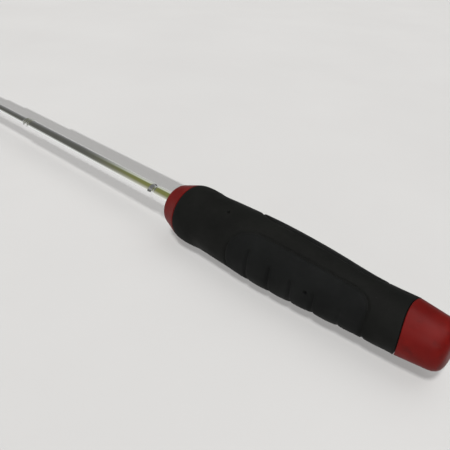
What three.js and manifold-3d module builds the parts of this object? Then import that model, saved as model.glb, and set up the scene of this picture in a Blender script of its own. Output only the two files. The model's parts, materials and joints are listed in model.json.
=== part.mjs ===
// Telescoping magnetic reacher: a two-colour handle, a chrome mast of five sections that
// slide inside one another, and a magnet head that tilts on a friction knuckle.
// Millimetres, +Z up. The tool lies along X on the plane z = 0, with its tip towards -X.
// Stations along the mast axis are called u: 0 at the rim of the handle's nose, positive
// towards the tip. Stations along the head's own axis are called v: 0 at its pivot.
import * as THREE from "three";
import { mergeVertices } from "three/addons/utils/BufferGeometryUtils.js";
import Module from "manifold-3d";

const wasm = await Module();
wasm.setup();

// Handle
const HANDLE_REAR = -146;
const NOSE_SEAM = -8.9;
const CAP_SEAM = -128.8;
const SEAM_GAP = 0.15;
const NOSE_SEAM_RADIUS = 14.75;
const NOSE_FACE_U = 2.7;
const NOSE_FACE_RADIUS = 8.2;
const NOSE_CORNER = 3.5;
// Degrees that the nose's corner turns through before it meets the taper
const NOSE_CORNER_TURN = 70.5;
const NOSE_CORNER_STEPS = 5;
const GRIP_MAX_RADIUS = 15.5;
const CAP_SEAM_RADIUS = 12.2;
const CAP_END_RADIUS = 10.25;
const CAP_CORNER = 5.5;
const CAP_CORNER_STEPS = 6;
const SPINE_RADIUS = 9;
const SPINE_REAR = -126.5;
const CAP_SOCKET_RADIUS = 7;
const CAP_SOCKET_FLOOR = -114;
// The overmoulded grip's outline: [u, radius] where its curve passes
const GRIP_CURVE = [
  [NOSE_SEAM, NOSE_SEAM_RADIUS],
  [-11, 15.25],
  [-15, GRIP_MAX_RADIUS],
  [-20, 15.3],
  [-25, 14.9],
  [-37, 15.2],
  [-62, 15.4],
  [-86.5, 14.2],
  [-111, 12.1],
  [CAP_SEAM, 12.3],
];
const GRIP_STEPS_PER_SPAN = 3;
const GRIP_STEPS = GRIP_STEPS_PER_SPAN * (GRIP_CURVE.length - 1);

// Fixed outer tube of the mast
const TUBE_RADIUS = 4.3;
const TUBE_BORE = 3.95;
const TUBE_REAR = -112;
const TUBE_MOUTH = 164;
const TUBE_MOUTH_LENGTH = 8;
const TUBE_MOUTH_SHARE = 0.7;
const GROOVE_U = 21;
const GROOVE_HALF_WIDTH = 3.2;
const GROOVE_DEPTH = 0.9;
// Where a groove's side turns from rim to flank to floor: [share of half width, of depth]
const GROOVE_FLANK = [0.7, 0.25];
const GROOVE_FLOOR_SHARE = 0.3;
const PLUG_REAR = 9;
const PLUG_FRONT = 26;
const ANCHOR_PIN_U = -60;
const ANCHOR_PIN_RADIUS = 1.2;
const ANCHOR_PIN_LENGTH = 17;

// Sliding sections: radius, bore, bore of the rolled mouth, and how far each one
// stands out of its parent when the tool lies at rest
const STAGES = [
  { number: 2, radius: 3.6, bore: 3.28, mouthBore: 3.0, parentBore: TUBE_BORE, exposed: 70 },
  { number: 3, radius: 2.95, bore: 2.63, mouthBore: 2.35, parentBore: 3.28, exposed: 30 },
  { number: 4, radius: 2.3, bore: 1.98, mouthBore: 1.7, parentBore: 2.63, exposed: 20 },
  { number: 5, radius: 1.65, bore: 0, mouthBore: 0, parentBore: 1.98, exposed: 15 },
];
const STAGE_LENGTH = 143;
const STAGE_MOUTH_LENGTH = 6;
const STAGE_MOUTH_SHARE = 0.4;
const RUNNING_GAP = 0.05;
const BEAD_HEIGHT = 0.28;
const VALLEY_DEPTH = 0.12;
const MOUTH_BORE_STEP = 1;
const BUSH_FLANGE = 1.5;
const BUSH_SPIGOT = 5;
const BUSH_CLEARANCE = 0.1;
const BUSH_VENT_RADIUS = 0.7;
const ROD_TENON_RADIUS = 0.9;
const ROD_TENON_LENGTH = 3;
const SLEEVE_START = 1;
const SLEEVE_LENGTH = 12;
const SLEEVE_SLIT = THREE.MathUtils.degToRad(24);

// Fork, knuckle and magnet head
const FORK_RADIUS = 3.7;
const FORK_SOCKET = 6;
const FORK_NECK = 2;
const FORK_REACH = 4;
const FORK_SLOT = 3.3;
const FORK_FLATS = 6.6;
const FORK_FLATS_SETBACK = 0.5;
const FORK_REAR_CHAMFER = 1;
const FORK_TIP_CHAMFER = 1.5;
const PIVOT_FROM_ROD = 8;
const PIVOT_PIN_RADIUS = 1;
const PIVOT_HEAD_RADIUS = 1.6;
const PIVOT_HEAD_HEIGHT = 0.7;
const PIVOT_HEAD_CHAMFER = [0.3, 0.5];
const TONGUE_THICKNESS = 2.4;
const TONGUE_RADIUS = 3.2;
const WASHER_RADIUS = 2.6;
const WASHER_THICKNESS = 0.32;
const KNUCKLE_COLLAR_RADIUS = 4.4;
const KNUCKLE_COLLAR_V = 6.4;
const KNUCKLE_COLLAR_CHAMFER = 0.6;
const KNUCKLE_SPIGOT_RADIUS = 2.05;
const CUP_V = 8;
const CUP_RADIUS = 8.5;
const CUP_LENGTH = 10.5;
const CUP_FLOOR = 2.1;
const CUP_WALL = 1.2;
const CUP_CHAMFER = 0.6;
const MAGNET_RADIUS = 5.75;
const MAGNET_RECESS = 0.1;
const SPACER_RECESS = 0.4;
const FIT_GAP = 0.1;

// Facets round a full turn
const SIDES = 24;
const FINE_SIDES = 32;
const SMALL_SIDES = 16;

// The tool rests on the grip's widest part and on the rim of the drooping head
const AXIS_HEIGHT = GRIP_MAX_RADIUS;
const CUP_FRONT_V = CUP_V + CUP_LENGTH;
const RIM_RADIUS = CUP_RADIUS - CUP_CHAMFER;
const REST_V = CUP_FRONT_V - CUP_CHAMFER;
const HEAD_DROOP =
  Math.asin(AXIS_HEIGHT / Math.hypot(REST_V, CUP_RADIUS)) - Math.atan2(CUP_RADIUS, REST_V);
const RESTING_REACH = STAGES.reduce((sum, stage) => sum + stage.exposed, TUBE_MOUTH);
const PIVOT_U = RESTING_REACH + PIVOT_FROM_ROD;
const HEAD_FRONT_U =
  PIVOT_U + CUP_FRONT_V * Math.cos(HEAD_DROOP) + RIM_RADIUS * Math.sin(HEAD_DROOP);
// X of the station u = 0, which centres the whole tool on the origin
const NOSE_X = (HEAD_FRONT_U + HANDLE_REAR) / 2;

const plastic = (color) => ({ color, roughness: 0.5, metalness: 0 });
const metal = (color, roughness) => ({ color, roughness, metalness: 1 });
const FINISH = {
  redPlastic: plastic(0x9c1c1a),
  blackRubber: { color: 0x1b1c1b, roughness: 0.8, metalness: 0 },
  chrome: metal(0xdfe2e4, 0.08),
  steel: metal(0xa9abad, 0.35),
  brass: metal(0xb8924a, 0.35),
  magnetNickel: metal(0xb9b7ae, 0.25),
  blackPlastic: plastic(0x202020),
};

// Joins equal vertices, and drops the triangles that this leaves without any area.
function welded(geometry) {
  const bare = geometry.clone();
  bare.deleteAttribute("normal");
  bare.deleteAttribute("uv");
  const merged = mergeVertices(bare, 1e-4);
  const corners = merged.index.array;
  const kept = [];
  for (let i = 0; i < corners.length; i += 3) {
    const [a, b, c] = [corners[i], corners[i + 1], corners[i + 2]];
    if (a !== b && b !== c && c !== a) kept.push(a, b, c);
  }
  merged.setIndex(kept);
  return merged;
}

function toSolid(geometry) {
  const clean = welded(geometry);
  return new wasm.Manifold(
    new wasm.Mesh({
      numProp: 3,
      vertProperties: new Float32Array(clean.attributes.position.array),
      triVerts: new Uint32Array(clean.index.array),
    }),
  );
}

function toGeometry(solid) {
  const mesh = solid.getMesh();
  const geometry = new THREE.BufferGeometry();
  geometry.setAttribute("position", new THREE.BufferAttribute(mesh.vertProperties, 3));
  geometry.setIndex(new THREE.BufferAttribute(mesh.triVerts, 1));
  return geometry;
}

function cut(geometry, ...tools) {
  return toGeometry(tools.reduce((solid, tool) => solid.subtract(toSolid(tool)), toSolid(geometry)));
}

function join(geometry, ...others) {
  return toGeometry(others.reduce((solid, other) => solid.add(toSolid(other)), toSolid(geometry)));
}

// A solid turned about Y. Points are [station, radius], in order round the section.
function turnedUpright(outline, sides = SIDES) {
  const points = outline.map(([station, radius]) => new THREE.Vector2(radius, station));
  const hollow = outline.every(([, radius]) => radius > 0);
  if (hollow) points.push(points[0].clone());
  if (THREE.ShapeUtils.area(points) < 0) points.reverse();
  return new THREE.LatheGeometry(points, sides);
}

// A solid turned about the mast axis, with its stations running towards -X.
function turned(outline, sides = SIDES) {
  return turnedUpright(outline, sides).rotateZ(Math.PI / 2);
}

// A block centred on a station of the mast axis: [along u, along Y, along Z].
function block(u, [length, width, height]) {
  return new THREE.BoxGeometry(length, width, height).translate(-u, 0, 0);
}

// A cylinder that crosses the mast axis in the Y direction.
function crossCylinder(u, radius, length, sides = SMALL_SIDES) {
  return new THREE.CylinderGeometry(radius, radius, length, sides).translate(-u, 0, 0);
}

// Points of an arc in an outline: centre [u, radius], from one angle to another, where
// 0 degrees points towards the tip and 90 degrees points outwards.
function arc([centreU, centreR], radius, fromDegrees, toDegrees, steps) {
  return Array.from({ length: steps + 1 }, (_, i) => {
    const angle = THREE.MathUtils.degToRad(fromDegrees + ((toDegrees - fromDegrees) * i) / steps);
    return [centreU + radius * Math.cos(angle), centreR + radius * Math.sin(angle)];
  });
}

// The nose tapers forward from the grip and turns through a round corner into a flat face.
function handleCore() {
  const cornerCentre = [NOSE_FACE_U - NOSE_CORNER, NOSE_FACE_RADIUS];
  const bore = TUBE_RADIUS + FIT_GAP;
  const core = turned([
    [NOSE_FACE_U, bore],
    ...arc(cornerCentre, NOSE_CORNER, 0, NOSE_CORNER_TURN, NOSE_CORNER_STEPS),
    [NOSE_SEAM, NOSE_SEAM_RADIUS],
    [NOSE_SEAM, SPINE_RADIUS],
    [SPINE_REAR, SPINE_RADIUS],
    [SPINE_REAR, CAP_SOCKET_RADIUS],
    [CAP_SOCKET_FLOOR, CAP_SOCKET_RADIUS],
    [CAP_SOCKET_FLOOR, bore],
  ]);
  return cut(core, crossCylinder(ANCHOR_PIN_U, ANCHOR_PIN_RADIUS + FIT_GAP, 3 * SPINE_RADIUS));
}

function gripOvermould() {
  const curve = new THREE.SplineCurve(GRIP_CURVE.map(([u, r]) => new THREE.Vector2(u, r)));
  const skin = curve.getPoints(GRIP_STEPS).map((point) => [point.x, point.y]);
  skin[0][0] -= SEAM_GAP;
  skin[GRIP_STEPS][0] += SEAM_GAP;
  const bore = SPINE_RADIUS + SEAM_GAP;
  return turned([...skin, [skin[GRIP_STEPS][0], bore], [skin[0][0], bore]], FINE_SIDES);
}

function endCap() {
  const cornerCentre = [HANDLE_REAR + CAP_CORNER, CAP_END_RADIUS - CAP_CORNER];
  const spigot = CAP_SOCKET_RADIUS - FIT_GAP;
  return turned([
    [HANDLE_REAR, 0],
    ...arc(cornerCentre, CAP_CORNER, 180, 90, CAP_CORNER_STEPS),
    [CAP_SEAM - SEAM_GAP, CAP_SEAM_RADIUS],
    [CAP_SEAM - SEAM_GAP, spigot],
    [CAP_SOCKET_FLOOR - FIT_GAP, spigot],
    [CAP_SOCKET_FLOOR - FIT_GAP, 0],
  ]);
}

// The outer side of a section's rolled mouth: two beads with a valley between them.
function mouthSide(end, radius, length) {
  const crest = radius + BEAD_HEIGHT;
  const valley = radius - VALLEY_DEPTH;
  return [
    [0, radius],
    [0.09, crest],
    [0.27, crest],
    [0.38, valley],
    [0.58, valley],
    [0.69, crest],
    [0.87, crest],
    [1, valley],
  ].map(([fraction, r]) => [end - length + fraction * length, r]);
}

// The dip that a rolled groove makes in a surface of the given radius.
function grooveSide(radius, halfWidth) {
  const floor = radius - GROOVE_DEPTH;
  const [flankShare, flankDrop] = GROOVE_FLANK;
  return [
    [GROOVE_U - halfWidth, radius],
    [GROOVE_U - flankShare * halfWidth, radius - flankDrop * GROOVE_DEPTH],
    [GROOVE_U - GROOVE_FLOOR_SHARE * halfWidth, floor],
    [GROOVE_U + GROOVE_FLOOR_SHARE * halfWidth, floor],
    [GROOVE_U + flankShare * halfWidth, radius - flankDrop * GROOVE_DEPTH],
    [GROOVE_U + halfWidth, radius],
  ];
}

function outerTube() {
  const mouthBore = STAGES[0].radius + RUNNING_GAP;
  const mouthStart = TUBE_MOUTH - TUBE_MOUTH_SHARE * TUBE_MOUTH_LENGTH;
  const tube = turned([
    [TUBE_REAR, TUBE_RADIUS],
    ...grooveSide(TUBE_RADIUS, GROOVE_HALF_WIDTH),
    ...mouthSide(TUBE_MOUTH, TUBE_RADIUS, TUBE_MOUTH_LENGTH),
    [TUBE_MOUTH, mouthBore],
    [mouthStart, mouthBore],
    [mouthStart - MOUTH_BORE_STEP, TUBE_BORE],
    ...grooveSide(TUBE_BORE, GROOVE_HALF_WIDTH).reverse(),
    [TUBE_REAR, TUBE_BORE],
  ]);
  return cut(tube, crossCylinder(ANCHOR_PIN_U, ANCHOR_PIN_RADIUS + FIT_GAP, 3 * TUBE_RADIUS));
}

// The plug that the rolled groove locks in place, and that stops the sliding sections.
function stopPlug() {
  const radius = TUBE_BORE - FIT_GAP;
  return turned([
    [PLUG_REAR, 0],
    [PLUG_REAR, radius],
    ...grooveSide(radius, GROOVE_HALF_WIDTH + FIT_GAP),
    [PLUG_FRONT, radius],
    [PLUG_FRONT, 0],
  ]);
}

function stageTube(stage, rear) {
  const front = rear + STAGE_LENGTH;
  const mouthStart = front - STAGE_MOUTH_SHARE * STAGE_MOUTH_LENGTH;
  return turned([
    [rear, stage.radius],
    ...mouthSide(front, stage.radius, STAGE_MOUTH_LENGTH),
    [front, stage.mouthBore],
    [mouthStart, stage.mouthBore],
    [mouthStart - MOUTH_BORE_STEP, stage.bore],
    [rear, stage.bore],
  ]);
}

function stageRod(stage, rear) {
  return turned([
    [rear - ROD_TENON_LENGTH, 0],
    [rear - ROD_TENON_LENGTH, ROD_TENON_RADIUS],
    [rear, ROD_TENON_RADIUS],
    [rear, stage.radius],
    [rear + STAGE_LENGTH, stage.radius],
    [rear + STAGE_LENGTH, 0],
  ]);
}

// A tube's bush plugs its rear end; the rod's bush is a ring riveted on the rod's tenon.
function stopBush(stage, rear) {
  const flange = stage.parentBore - BUSH_CLEARANCE;
  const solidRod = stage.bore === 0;
  if (solidRod) {
    const bore = ROD_TENON_RADIUS + FIT_GAP;
    const back = rear - ROD_TENON_LENGTH;
    const front = rear - FIT_GAP;
    return turned([[back, bore], [back, flange], [front, flange], [front, bore]], SMALL_SIDES);
  }
  const spigot = stage.bore - FIT_GAP;
  return turned(
    [
      [rear - BUSH_FLANGE, BUSH_VENT_RADIUS],
      [rear - BUSH_FLANGE, flange],
      [rear - FIT_GAP, flange],
      [rear - FIT_GAP, spigot],
      [rear + BUSH_SPIGOT, spigot],
      [rear + BUSH_SPIGOT, BUSH_VENT_RADIUS],
    ],
    SMALL_SIDES,
  );
}

// A slit sleeve that springs against the parent's bore and gives the section its grip.
function springSleeve(stage, rear) {
  const outer = stage.parentBore - RUNNING_GAP;
  const inner = stage.radius + FIT_GAP;
  const from = SLEEVE_SLIT / 2;
  const to = 2 * Math.PI - SLEEVE_SLIT / 2;
  const section = new THREE.Shape();
  section.absarc(0, 0, outer, from, to, false);
  section.absarc(0, 0, inner, to, from, true);
  section.closePath();
  return new THREE.ExtrudeGeometry(section, {
    depth: SLEEVE_LENGTH,
    bevelEnabled: false,
    curveSegments: SMALL_SIDES,
  })
    .rotateY(-Math.PI / 2)
    .translate(-(rear + SLEEVE_START), 0, 0);
}

// A turned fork: a socket for the rod at the rear, two flat ears at the front.
function headFork() {
  const rodEnd = RESTING_REACH;
  const tip = PIVOT_U + FORK_REACH;
  const slotStart = rodEnd + FORK_NECK;
  const body = turned([
    [rodEnd - FORK_SOCKET, 0],
    [rodEnd - FORK_SOCKET, FORK_RADIUS - FORK_REAR_CHAMFER],
    [rodEnd - FORK_SOCKET + FORK_REAR_CHAMFER, FORK_RADIUS],
    [tip - FORK_TIP_CHAMFER, FORK_RADIUS],
    [tip, FORK_RADIUS - FORK_TIP_CHAMFER],
    [tip, 0],
  ]);
  const reach = 2 * (tip - slotStart);
  const slot = block(slotStart + reach / 2, [reach, FORK_SLOT, 4 * FORK_RADIUS]);
  const flatsMiddle = slotStart + FORK_FLATS_SETBACK + reach / 2;
  const flats = [1, -1].map((side) =>
    block(flatsMiddle, [reach, FORK_FLATS, 4 * FORK_RADIUS]).translate(0, side * FORK_FLATS, 0),
  );
  const socketRadius = STAGES[3].radius + RUNNING_GAP;
  const socket = turned([
    [rodEnd - 2 * FORK_SOCKET, 0],
    [rodEnd - 2 * FORK_SOCKET, socketRadius],
    [rodEnd + FIT_GAP, socketRadius],
    [rodEnd + FIT_GAP, 0],
  ]);
  const pinHole = crossCylinder(PIVOT_U, PIVOT_PIN_RADIUS + RUNNING_GAP, 4 * FORK_RADIUS);
  return cut(body, slot, ...flats, socket, pinHole);
}

// The rivet that the head turns on, with a button on each side of the fork.
function pivotPin() {
  const earFace = FORK_FLATS / 2 + RUNNING_GAP;
  const end = earFace + PIVOT_HEAD_HEIGHT;
  const [edgeDrop, edgeInset] = PIVOT_HEAD_CHAMFER;
  const button = [
    [earFace, PIVOT_PIN_RADIUS],
    [earFace, PIVOT_HEAD_RADIUS],
    [end - edgeDrop, PIVOT_HEAD_RADIUS],
    [end, PIVOT_HEAD_RADIUS - edgeInset],
    [end, 0],
  ];
  const mirrored = button.map(([y, r]) => [-y, r]).reverse();
  return turnedUpright([...mirrored, ...button], SMALL_SIDES).translate(-PIVOT_U, 0, 0);
}

function pivotWasher(side) {
  const inner = side * (TONGUE_THICKNESS / 2 + RUNNING_GAP);
  const outer = inner + side * WASHER_THICKNESS;
  const bore = PIVOT_PIN_RADIUS + FIT_GAP;
  return turnedUpright(
    [[inner, bore], [inner, WASHER_RADIUS], [outer, WASHER_RADIUS], [outer, bore]],
    SMALL_SIDES,
  ).translate(-PIVOT_U, 0, 0);
}

// The tongue between the fork's ears, with a collar and a rivet spigot for the cup.
function headKnuckle() {
  const outline = new THREE.Shape();
  outline.absarc(0, 0, TONGUE_RADIUS, Math.PI / 2, (3 * Math.PI) / 2, false);
  outline.lineTo(CUP_V - 1, -TONGUE_RADIUS);
  outline.lineTo(CUP_V - 1, TONGUE_RADIUS);
  outline.closePath();
  const tongue = new THREE.ExtrudeGeometry(outline, {
    depth: TONGUE_THICKNESS,
    bevelEnabled: false,
    curveSegments: SMALL_SIDES / 2,
  })
    .translate(0, 0, -TONGUE_THICKNESS / 2)
    .rotateX(Math.PI / 2)
    .rotateZ(Math.PI);
  const collar = turned([
    [KNUCKLE_COLLAR_V, 0],
    [KNUCKLE_COLLAR_V, KNUCKLE_COLLAR_RADIUS - KNUCKLE_COLLAR_CHAMFER],
    [KNUCKLE_COLLAR_V + KNUCKLE_COLLAR_CHAMFER, KNUCKLE_COLLAR_RADIUS],
    [CUP_V - FIT_GAP, KNUCKLE_COLLAR_RADIUS],
    [CUP_V - FIT_GAP, KNUCKLE_SPIGOT_RADIUS],
    [CUP_V + CUP_FLOOR - FIT_GAP, KNUCKLE_SPIGOT_RADIUS],
    [CUP_V + CUP_FLOOR - FIT_GAP, 0],
  ]);
  const pinHole = crossCylinder(0, PIVOT_PIN_RADIUS + RUNNING_GAP, 2 * TONGUE_THICKNESS);
  return cut(join(tongue, collar), pinHole);
}

function magnetCup() {
  const hole = KNUCKLE_SPIGOT_RADIUS + FIT_GAP;
  const bore = CUP_RADIUS - CUP_WALL;
  return turned([
    [CUP_V, hole],
    [CUP_V, CUP_RADIUS - CUP_CHAMFER],
    [CUP_V + CUP_CHAMFER, CUP_RADIUS],
    [CUP_FRONT_V - CUP_CHAMFER, CUP_RADIUS],
    [CUP_FRONT_V, RIM_RADIUS],
    [CUP_FRONT_V, bore],
    [CUP_V + CUP_FLOOR, bore],
    [CUP_V + CUP_FLOOR, hole],
  ]);
}

function magnetSpacer() {
  const [inner, outer] = [MAGNET_RADIUS + FIT_GAP, CUP_RADIUS - CUP_WALL - FIT_GAP];
  const [back, front] = [CUP_V + CUP_FLOOR + FIT_GAP, CUP_FRONT_V - SPACER_RECESS];
  return turned([[back, inner], [back, outer], [front, outer], [front, inner]]);
}

function magnetDisc() {
  const [back, front] = [CUP_V + CUP_FLOOR + FIT_GAP, CUP_FRONT_V - MAGNET_RECESS];
  return turned([[back, 0], [back, MAGNET_RADIUS], [front, MAGNET_RADIUS], [front, 0]]);
}

function piece(name, geometry, finish) {
  const mesh = new THREE.Mesh(geometry, new THREE.MeshStandardMaterial(FINISH[finish]));
  mesh.name = name;
  return mesh;
}

function handle() {
  const group = new THREE.Group();
  const pin = crossCylinder(ANCHOR_PIN_U, ANCHOR_PIN_RADIUS, ANCHOR_PIN_LENGTH);
  group.add(
    piece("handle_core", handleCore(), "redPlastic"),
    piece("grip_overmould", gripOvermould(), "blackRubber"),
    piece("end_cap", endCap(), "redPlastic"),
    piece("tube_anchor_pin", pin, "steel"),
  );
  return group;
}

function mast() {
  const group = new THREE.Group();
  group.add(
    piece("outer_tube", outerTube(), "chrome"),
    piece("tube_stop_plug", stopPlug(), "brass"),
  );
  let front = TUBE_MOUTH;
  for (const stage of STAGES) {
    front += stage.exposed;
    const rear = front - STAGE_LENGTH;
    const rod = stage.bore === 0;
    const section = rod ? stageRod(stage, rear) : stageTube(stage, rear);
    group.add(
      piece(`stage_${stage.number}_${rod ? "rod" : "tube"}`, section, "chrome"),
      piece(`stage_${stage.number}_stop_bush`, stopBush(stage, rear), "brass"),
      piece(`stage_${stage.number}_spring_sleeve`, springSleeve(stage, rear), "brass"),
    );
  }
  return group;
}

function knuckle() {
  const group = new THREE.Group();
  group.add(
    piece("head_fork", headFork(), "chrome"),
    piece("pivot_pin", pivotPin(), "steel"),
    piece("pivot_washer_left", pivotWasher(-1), "brass"),
    piece("pivot_washer_right", pivotWasher(1), "brass"),
  );
  return group;
}

function magnetHead() {
  const group = new THREE.Group();
  group.add(
    piece("head_knuckle", headKnuckle(), "steel"),
    piece("magnet_cup", magnetCup(), "chrome"),
    piece("magnet_spacer", magnetSpacer(), "blackPlastic"),
    piece("magnet", magnetDisc(), "magnetNickel"),
  );
  group.position.set(-PIVOT_U, 0, 0);
  group.rotation.y = -HEAD_DROOP;
  return group;
}

const tool = new THREE.Group();
tool.add(handle(), mast(), knuckle(), magnetHead());
tool.position.set(NOSE_X, 0, AXIS_HEIGHT);

export default tool;
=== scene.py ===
"""The looks of a telescoping magnetic reacher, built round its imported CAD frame.

The tool lies on its grip, with its mast level and its tip towards -X. Places along the mast are
stations u, in millimetres ahead of the nose rim. Places along the magnet head are stations v, in
millimetres ahead of its pivot. Angles phi round the mast are 0 on the -Y side and 90 on top.
"""

import json
import math

import bmesh
import bpy
import numpy as np
from mathutils import Matrix, Vector

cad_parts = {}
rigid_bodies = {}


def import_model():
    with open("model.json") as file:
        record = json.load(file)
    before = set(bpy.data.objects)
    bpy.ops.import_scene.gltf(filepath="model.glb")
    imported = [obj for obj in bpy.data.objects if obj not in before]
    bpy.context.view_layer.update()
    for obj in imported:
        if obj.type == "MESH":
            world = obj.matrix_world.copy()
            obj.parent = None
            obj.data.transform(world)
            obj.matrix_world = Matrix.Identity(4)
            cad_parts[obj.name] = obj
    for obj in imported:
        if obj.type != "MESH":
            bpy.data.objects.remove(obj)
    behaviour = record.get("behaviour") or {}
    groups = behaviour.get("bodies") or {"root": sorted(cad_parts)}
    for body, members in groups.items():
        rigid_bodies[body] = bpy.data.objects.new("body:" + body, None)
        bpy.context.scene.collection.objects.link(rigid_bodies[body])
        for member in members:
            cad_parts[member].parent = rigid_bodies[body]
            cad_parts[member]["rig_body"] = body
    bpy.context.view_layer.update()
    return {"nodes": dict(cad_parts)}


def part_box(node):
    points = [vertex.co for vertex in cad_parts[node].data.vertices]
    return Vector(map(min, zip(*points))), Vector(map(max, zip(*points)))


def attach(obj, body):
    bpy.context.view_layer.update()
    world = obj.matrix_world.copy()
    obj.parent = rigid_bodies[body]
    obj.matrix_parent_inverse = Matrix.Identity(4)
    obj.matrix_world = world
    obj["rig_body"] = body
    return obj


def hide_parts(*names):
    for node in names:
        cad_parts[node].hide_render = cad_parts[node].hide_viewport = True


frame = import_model()

MM = 0.001
SIDES = 96
FINE_SIDES = 160

# Handle: the frame gives its ends, seams and outline
HANDLE_LENGTH = 146.0
NOSE_FACE_U = 2.7
NOSE_FACE_RADIUS = 8.2
NOSE_CORNER = 3.5
NOSE_CORNER_TURN = 70.5
CAP_END_RADIUS = 10.25
CAP_CORNER = 5.2
SPINE_RADIUS = 9.0
SPINE_REAR = -126.5
SPINE_GAP = 0.15
CAP_SOCKET_RADIUS = 7.0
CAP_SOCKET_FLOOR = -114.0
SEAM_WAVE = 1.08
SEAM_WAVE_REACH = 12.0
FIT_GAP = 0.1

# Relief of the grip, symmetrical about a plane that is rolled a little towards the -Y side
GRIP_STATIONS = 322
GRIP_SIDES = 288
GRIP_EDGE = 0.45
GRIP_EDGE_RINGS = (0.0, 0.066, 0.154, 0.286, 0.462, 0.682)
GRIP_TOP = math.radians(81.5)
GRIP_MEAN_RADIUS = 15.2
PANEL_FRONT = -46.0
PANEL_REAR = -115.5
PANEL_HALF_HEIGHT = 18.4
PANEL_FRONT_CORNER = 14.5
PANEL_REAR_CORNER = 9.0
PANEL_GROOVE_DEPTH = 0.5
PANEL_GROOVE_WIDTH = 0.6
PANEL_RISE = 0.12
PANEL_RISE_WIDTH = 1.4
PANEL_MARK_WIDTH = 1.2

# Finger notches: station, degrees from the top where each starts, and share of the full depth
NOTCHES = (
    (-58.6, 50.5, 1.0),
    (-71.0, 57.5, 1.0),
    (-82.3, 61.5, 1.0),
    (-93.4, 64.5, 0.9),
    (-105.5, 66.0, 0.5),
)
NOTCH_DEPTH = 0.85
NOTCH_WIDTH = 0.75
NOTCH_FADE = math.radians(9)
NOTCH_LEAN = 1.2
NOTCH_LEAN_START = math.radians(75)
NOTCH_LEAN_FADE = math.radians(60)

# Lobes between the notches, where the fingers lie
LOBE_HEIGHT = 0.18
LOBE_START = math.radians(60)
LOBE_FADE = math.radians(45)
LOBE_VALLEY_WIDTH = 3.5
LOBES_REACH = 9.0
LOBES_END_FADE = 8.0

# Swelling of the underside
BELLY_HEIGHT = 0.3
BELLY_SIDES = (math.radians(85), math.radians(165))
BELLY_SIDE_FADE = math.radians(25)
BELLY_ENDS = (-128.0, -30.0)
BELLY_END_FADES = (10.0, 25.0)
REAR_BELLY_HEIGHT = 0.45
REAR_BELLY_FRONT = -90.0
REAR_BELLY_FADE = 12.0

# Small holes in the grip: station, and degrees round from the -Y side
VENT_HOLES = ((-38.0, 72.0), (-89.8, 7.0))
VENT_RADIUS = 0.75
VENT_DEPTH = 1.5
VENT_WALL = 1.3
VENT_MOUTH = 1.6

# Mast
TUBE_WALL = 0.35
GROOVE_U = 21.0
GROOVE_HALF_WIDTH = 3.2
GROOVE_DEPTH = 0.9
MOUTH_LENGTH = 8.0
MOUTH_SHARE = 0.7
MOUTH_STEP = 0.3
MOUTH_TAPER = 1.0
STAGE_MOUTH_LENGTH = 6.0
STAGE_MOUTH_SHARE = 0.4
STAGE_WALL = 0.32
STAGE_MOUTH_STEP = 0.28
BEAD_HEIGHT = 0.28
VALLEY_DEPTH = 0.12
TENON_SHARE = 0.545
TENON_POINT_SHARE = 0.25
TENON_POINT = 0.15
BUSH_FLANGE = 1.4
BUSH_VENT_RADIUS = 0.7
ROD_BUSH_BORE = 1.0
SLEEVE_SLIT = math.radians(24)
SLEEVE_CUFF = 2.0
SLEEVE_RISE = 1.0
SLEEVE_CROWN = 0.04

# Knuckle and head: places along the head are stations v
FORK_WEB = 2.0
FORK_SLOT_HALF = 1.65
FORK_EAR_SIDE = 3.3
FORK_FLAT_START = 0.5
FORK_ROD_GAP = 0.05
RIVET_RADIUS = 1.0
RIVET_BORE = 1.05
RIVET_BUTTON = 0.7
WASHER_BORE = 1.1
TONGUE_HALF = 1.2
TONGUE_RADIUS = 3.2
COLLAR_BACK = 6.4
COLLAR_RADIUS = 4.4
SPIGOT_RADIUS = 2.05
CUP_BACK = 8.0
CUP_FRONT = 18.5
CUP_RADIUS = 8.5
CUP_WALL = 1.2
CUP_FLOOR = 2.1
CUP_BORE = 2.15
SPACER_SETBACK = 0.4
MAGNET_RADIUS = 5.75
MAGNET_SETBACK = 0.1
DIMPLE_RADIUS = 1.0
DIMPLE_DEPTH = 0.2

# Studio
TABLE_SIZE = 4.0
LIGHT_LEAN = 0.15
CAMERA_LENS = 38.56
CAMERA_FROM_NOSE = (166.2, -152.0, 129.4)
CAMERA_TURN = 41.45
CAMERA_DIP = 32.07
CAMERA_ROLL = 2.68


def centre_of(node):
    """The middle of a CAD node's box, in the row frame."""
    low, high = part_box(node)
    return (low + high) / 2


AXIS_Z = centre_of("outer_tube").z
NOSE_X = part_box("end_cap")[1].x - HANDLE_LENGTH * MM
TO_MAST = (
    Matrix.Translation((NOSE_X, 0, AXIS_Z)) @ Matrix.Rotation(math.pi, 4, "Z") @ Matrix.Scale(MM, 4)
)


def stations_of(node):
    """Rear station, front station and radius of a CAD node that lies along the mast."""
    low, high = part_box(node)
    return (NOSE_X - high.x) / MM, (NOSE_X - low.x) / MM, (high.y - low.y) / 2 / MM


def head_matrix():
    """The head's own axis: from its pivot towards the middle of the magnet."""
    pivot = centre_of("pivot_pin")
    reach = centre_of("magnet") - pivot
    droop = math.atan2(-reach.z, -reach.x)
    turn = Matrix.Rotation(-droop, 4, "Y") @ Matrix.Rotation(math.pi, 4, "Z")
    return Matrix.Translation(pivot) @ turn @ Matrix.Scale(MM, 4)


TO_HEAD = head_matrix()
TO_PIVOT = Matrix.Translation(centre_of("pivot_pin")) @ Matrix.Rotation(math.pi / 2, 4, "Z")
TO_PIVOT = TO_PIVOT @ Matrix.Scale(MM, 4)


# ---------------------------------------------------------------- shapes


def arc(centre, radius, start, end, steps):
    """Outline points round a centre, where 0 degrees points forward and 90 outward."""
    angles = [math.radians(start + (end - start) * i / steps) for i in range(steps + 1)]
    return [(centre[0] + radius * math.cos(a), centre[1] + radius * math.sin(a)) for a in angles]


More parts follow.
